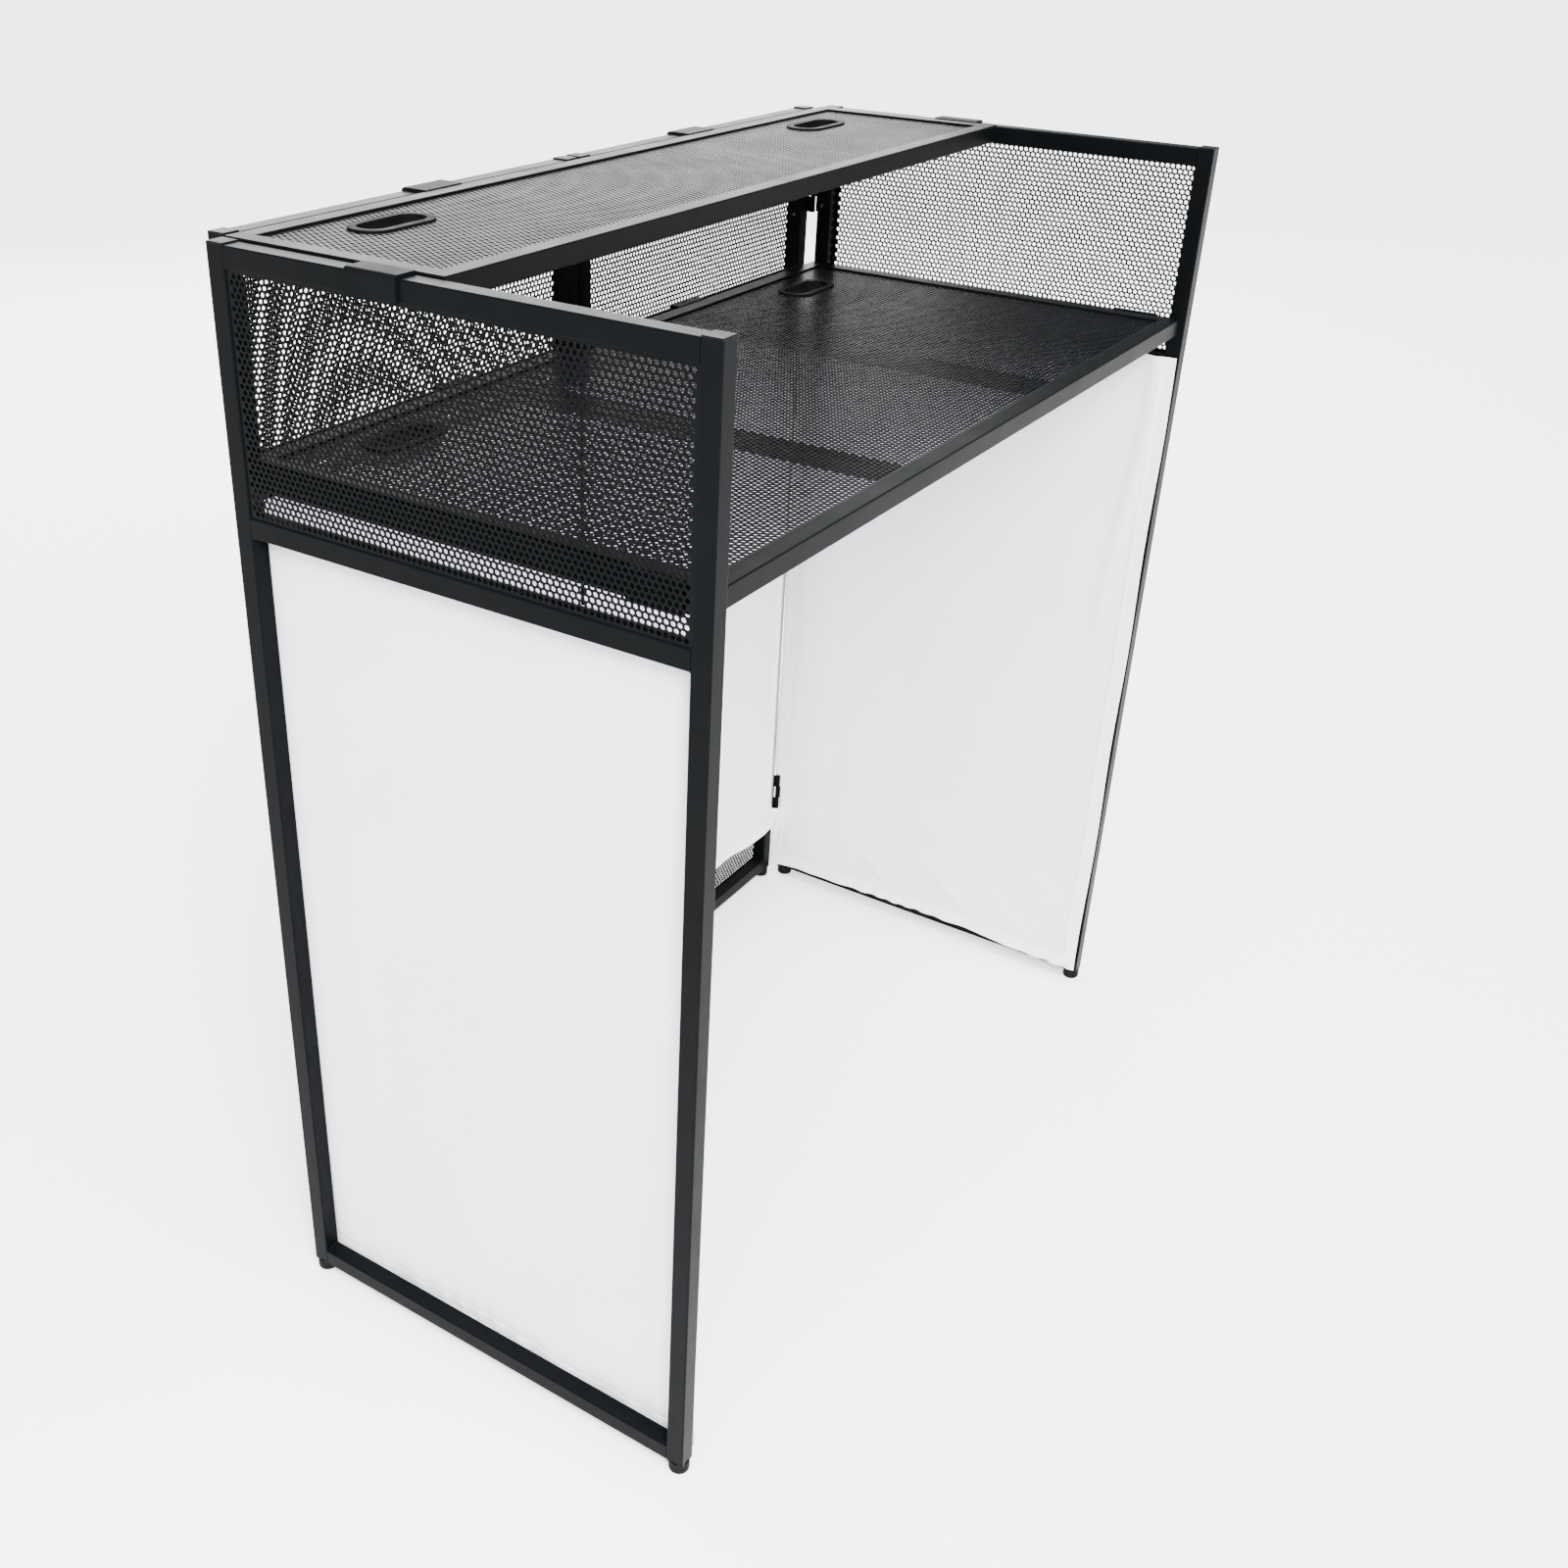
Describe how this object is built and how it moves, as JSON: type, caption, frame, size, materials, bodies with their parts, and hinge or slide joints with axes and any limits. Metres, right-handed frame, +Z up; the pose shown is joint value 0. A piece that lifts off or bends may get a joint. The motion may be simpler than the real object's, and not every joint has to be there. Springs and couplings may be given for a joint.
{
  "type": "dj booth",
  "caption": "Folding DJ booth of black square steel tube with perforated steel sheets, white cloth scrims, a deep table and a raised front shelf with cable ports.",
  "frame": {"origin": "on the floor, in the middle of the overall box", "axes": "+X to the right as seen by the person standing at the booth, +Y to the audience, +Z up"},
  "size_m": [1.104, 0.5595, 1.193],
  "materials": {
    "frame_tube": "satin black powder coat on square steel tube",
    "perforated_sheet": "satin black powder coat on perforated steel sheet",
    "hook_steel": "satin black powder coat on bent steel plate",
    "hinge_steel": "satin black powder coat",
    "pin_steel": "plain steel",
    "cap_plastic": "matt black moulded",
    "port_plastic": "satin black moulded",
    "foot_rubber": "matt black",
    "scrim_cloth": "white stretch knit",
    "hook_and_loop_tape": "white woven tape"
  },
  "bodies": {
    "frame": {"foot_glides": "foot_rubber", "front_left_bottom_rail": "frame_tube", "front_left_inner_post": "frame_tube", "front_left_kick_sheet": "perforated_sheet", "front_left_lower_rail": "frame_tube", "front_left_middle_rail": "frame_tube", "front_left_outer_post": "frame_tube", "front_left_scrim": "scrim_cloth", "front_left_top_rail": "frame_tube", "front_left_upper_sheet": "perforated_sheet", "front_right_bottom_rail": "frame_tube", "front_right_inner_post": "frame_tube", "front_right_kick_sheet": "perforated_sheet", "front_right_lower_rail": "frame_tube", "front_right_middle_rail": "frame_tube", "front_right_outer_post": "frame_tube", "front_right_scrim": "scrim_cloth", "front_right_top_rail": "frame_tube", "front_right_upper_sheet": "perforated_sheet", "hinge_leaves_in_the_middle": "hinge_steel", "hinge_leaves_on_front_panels": "hinge_steel", "hinge_leaves_on_side_panels": "hinge_steel", "hinge_pins": "pin_steel", "ledge_bars": "frame_tube", "left_panel_bottom_rail": "frame_tube", "left_panel_front_post": "frame_tube", "left_panel_middle_rail": "frame_tube", "left_panel_rear_post": "frame_tube", "left_panel_scrim": "scrim_cloth", "left_panel_sheet": "perforated_sheet", "left_panel_top_rail": "frame_tube", "post_caps": "cap_plastic", "right_panel_bottom_rail": "frame_tube", "right_panel_front_post": "frame_tube", "right_panel_middle_rail": "frame_tube", "right_panel_rear_post": "frame_tube", "right_panel_scrim": "scrim_cloth", "right_panel_sheet": "perforated_sheet", "right_panel_top_rail": "frame_tube", "scrim_tape": "hook_and_loop_tape"},
    "shelf": {"shelf_front_hooks": "hook_steel", "shelf_front_rail": "frame_tube", "shelf_left_port": "port_plastic", "shelf_left_rail": "frame_tube", "shelf_rear_rail": "frame_tube", "shelf_right_port": "port_plastic", "shelf_right_rail": "frame_tube", "shelf_sheet": "perforated_sheet", "shelf_side_hooks": "hook_steel"},
    "table": {"table_front_hooks": "hook_steel", "table_front_rail": "frame_tube", "table_left_crossbar": "frame_tube", "table_left_port": "port_plastic", "table_left_rail": "frame_tube", "table_rear_rail": "frame_tube", "table_right_crossbar": "frame_tube", "table_right_port": "port_plastic", "table_right_rail": "frame_tube", "table_sheet": "perforated_sheet", "table_side_hooks": "hook_steel"}
  },
  "joints": [
    {"name": "shelf_lift", "type": "slide", "parent": "frame", "child": "shelf", "axis": [0, 0, 1], "range_m": [0, 0.3]},
    {"name": "table_lift", "type": "slide", "parent": "frame", "child": "table", "axis": [0, 0, 1], "range_m": [0, 0.12]}
  ]
}
